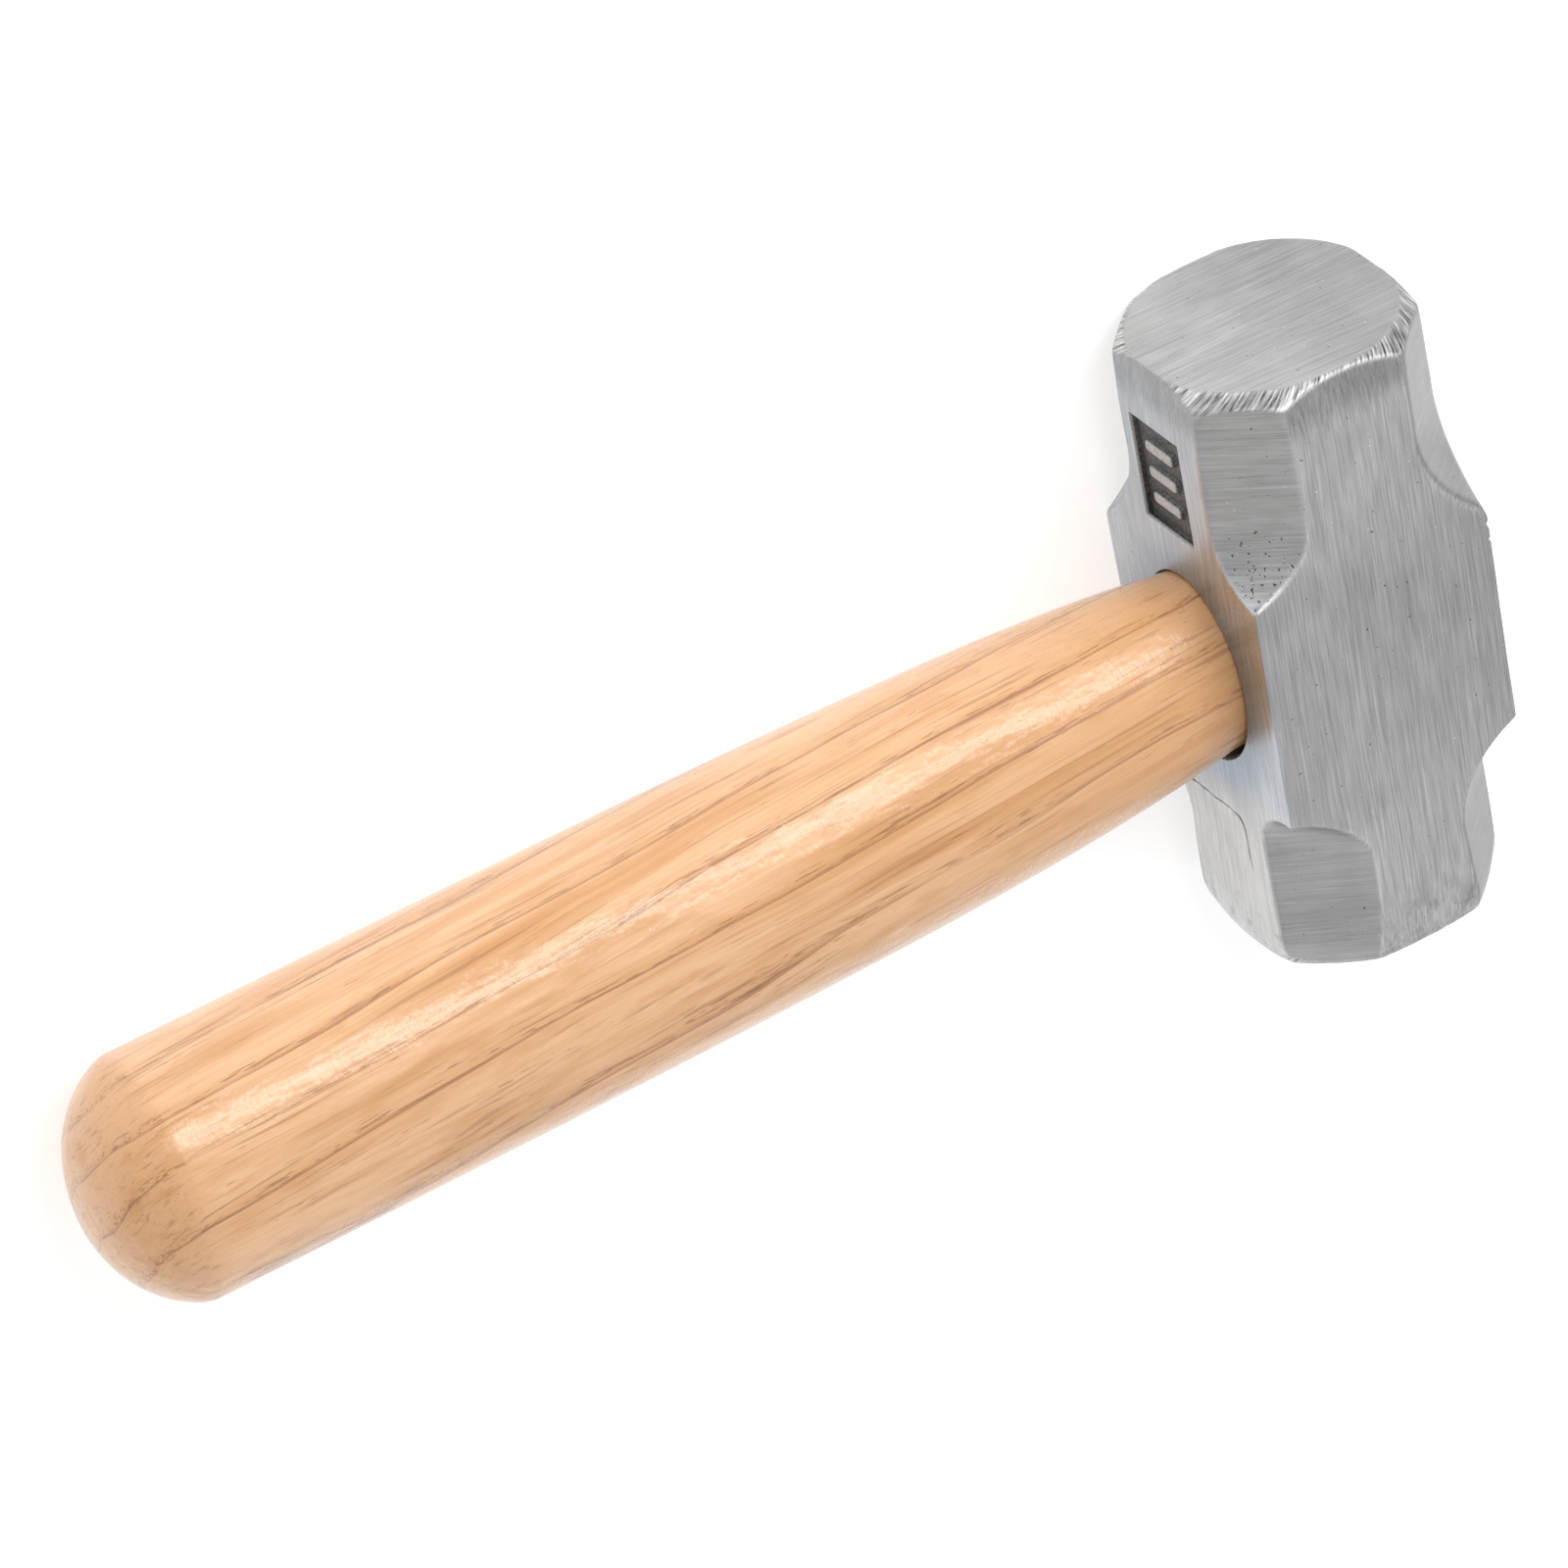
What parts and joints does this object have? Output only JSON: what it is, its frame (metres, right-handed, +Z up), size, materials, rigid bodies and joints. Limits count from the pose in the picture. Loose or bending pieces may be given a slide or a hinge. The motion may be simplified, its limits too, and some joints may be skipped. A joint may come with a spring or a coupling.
{
  "type": "lump hammer",
  "caption": "Short-handled club hammer: a square steel head tapering to octagonal ends with round bevelled striking faces, wedged on a stout varnished wooden handle.",
  "frame": {"origin": "on the flat cheek that the hammer lies on, straight below the point where the handle axis crosses the striking axis", "axes": "+X along the handle from the butt to the head, +Y along the striking axis towards the half with the sunk panel, +Z up out of the other cheek"},
  "size_m": [0.1756, 0.079, 0.0312],
  "materials": {
    "head_steel": "bare forged steel, belt-ground",
    "handle_wood": "clear gloss varnish",
    "wedge_wood": "bare sawn",
    "wedge_steel": "dark as rolled"
  },
  "bodies": {
    "root": {"head": "head_steel", "handle": "handle_wood", "wooden_wedge": "wedge_wood", "steel_wedge_1": "wedge_steel", "steel_wedge_2": "wedge_steel"}
  },
  "joints": []
}
